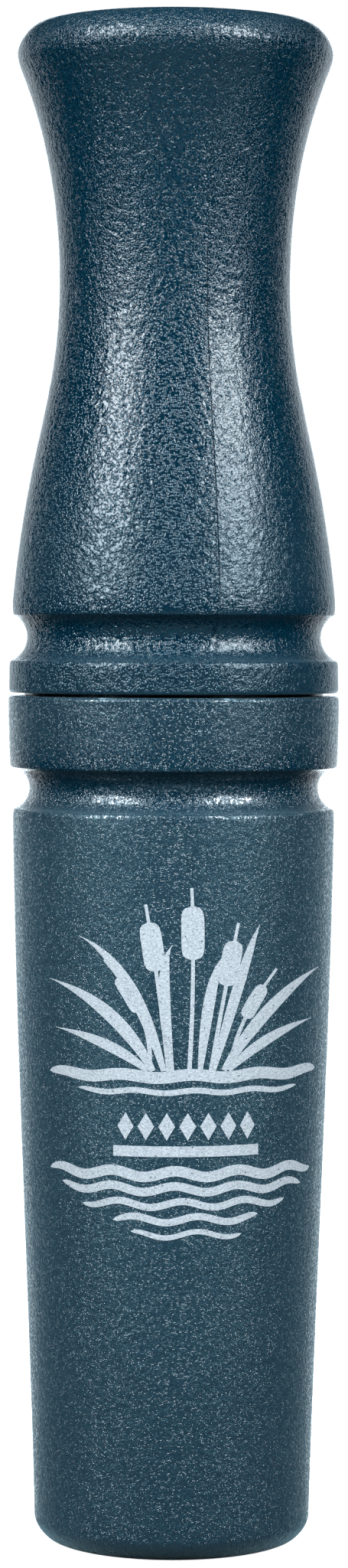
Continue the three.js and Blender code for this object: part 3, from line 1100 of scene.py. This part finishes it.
def floor_white():
    """A plain pale floor, with some light of its own because the world doesn't light it."""
    t = Tree("floor_white")
    colour = t.colour(t.noise(FLOOR_PATCHES, detail=2), *FLOOR_WHITES)
    t.set(t.shader, Base_Color=colour, Roughness=FLOOR_ROUGHNESS)
    t.set(t.shader, Emission_Color=WHITE, Emission_Strength=0.6)
    return t.material


# ---------------------------------------------------------------- stage

LIGHT_AIM = Vector((0, 0, 0.08))
STUDIO_TINT = (0.88, 1.0, 1.08)
BOUNCE_TINT = (0.6, 1.0, 1.2)
SURROUND_STRENGTH = 1.05
FLOOR_HALF_SIDE = 0.4

CAMERA_DISTANCE = 0.3717
CAMERA_ABOVE_SHOULDER = 0.0061
CAMERA_ROLL = math.radians(-0.16)
CAMERA_LENS = 98
CAMERA_SHIFT_Y = -0.1010


def area_light(name, width, height, radiance, tint):
    """A rectangular light that the camera doesn't see, with its power worked out from its area."""
    light = bpy.data.lights.new(name, "AREA")
    light.shape = "RECTANGLE"
    light.size = width
    light.size_y = height
    light.energy = radiance * math.pi * width * height
    light.color = tint
    lamp = bpy.data.objects.new(name, light)
    lamp.visible_camera = False
    bpy.context.scene.collection.objects.link(lamp)
    return lamp


def softbox(name, azimuth, elevation, distance, width, height, radiance):
    """A light that faces the call. Azimuth 0 is the camera's side."""
    a, e = math.radians(azimuth), math.radians(elevation)
    away = Vector((math.sin(a) * math.cos(e), -math.cos(a) * math.cos(e), math.sin(e)))
    lamp = area_light(name, width, height, radiance, STUDIO_TINT)
    lamp.location = LIGHT_AIM + away * distance
    lamp.rotation_euler = (-away).to_track_quat("-Z", "Y").to_euler()


def table_bounce():
    """The light that a white table throws back up at the front of the call."""
    lamp = area_light("table_bounce", width=0.6, height=0.36, radiance=0.5, tint=BOUNCE_TINT)
    lamp.location = (0, -0.24, 0.002)
    lamp.rotation_euler = (math.pi, 0, 0)


def make_lights():
    softbox("softbox_left", -52, 31, distance=0.8, width=0.44, height=0.56, radiance=18)
    softbox("softbox_right", 50, 31, distance=0.8, width=0.46, height=0.56, radiance=16.5)
    softbox("backdrop", 180, 0, distance=0.7, width=1.15, height=0.5, radiance=1)
    softbox("softbox_rear", 180, 3, distance=0.8, width=0.24, height=0.56, radiance=2)
    table_bounce()


def make_surround():
    """A white world behind the call, which neither lights it nor shows in its gloss."""
    world = bpy.data.worlds.new("white_surround")
    world.use_nodes = True
    background = world.node_tree.nodes["Background"]
    background.inputs["Color"].default_value = WHITE
    background.inputs["Strength"].default_value = SURROUND_STRENGTH
    world.cycles_visibility.diffuse = False
    world.cycles_visibility.glossy = False
    bpy.context.scene.world = world


def make_floor(material):
    side = FLOOR_HALF_SIDE
    mesh = bpy.data.meshes.new("floor")
    corners = [(-side, -side, 0), (side, -side, 0), (side, side, 0), (-side, side, 0)]
    mesh.from_pydata(corners, [], [(0, 1, 2, 3)])
    mesh.materials.append(material)
    floor = bpy.data.objects.new("floor", mesh)
    floor.visible_diffuse = False
    floor.visible_glossy = False
    bpy.context.scene.collection.objects.link(floor)


def make_camera():
    """The camera looks level along +Y, from just above the joint's height, a little rolled."""
    data = bpy.data.cameras.new("camera")
    data.sensor_width = 36
    data.lens = CAMERA_LENS
    data.shift_y = CAMERA_SHIFT_Y
    data.clip_start = 0.01
    data.clip_end = 50
    camera = bpy.data.objects.new("camera", data)
    camera.location = (0, -CAMERA_DISTANCE, SHOULDER_Z * MM + CAMERA_ABOVE_SHOULDER)
    camera.rotation_euler = (math.pi / 2, CAMERA_ROLL, 0)
    bpy.context.scene.collection.objects.link(camera)
    bpy.context.scene.camera = camera


# ---------------------------------------------------------------- assembly

plastic = moulded_plastic()
make_barrel(plastic)
make_end_piece(plastic)
ring_material = ring_rubber()
for ring_node, ring_z in ring_heights().items():
    make_o_ring(ring_node, ring_z + SHOULDER_Z, ring_material)
make_trough(gut_plastic())
make_wedge(wedge_rubber())
make_reed(reed_film())
make_print(print_ink())
make_floor(floor_white())
make_lights()
make_surround()
make_camera()

bpy.context.scene.view_settings.view_transform = "Standard"
bpy.context.scene.cycles.denoising_prefilter = "NONE"
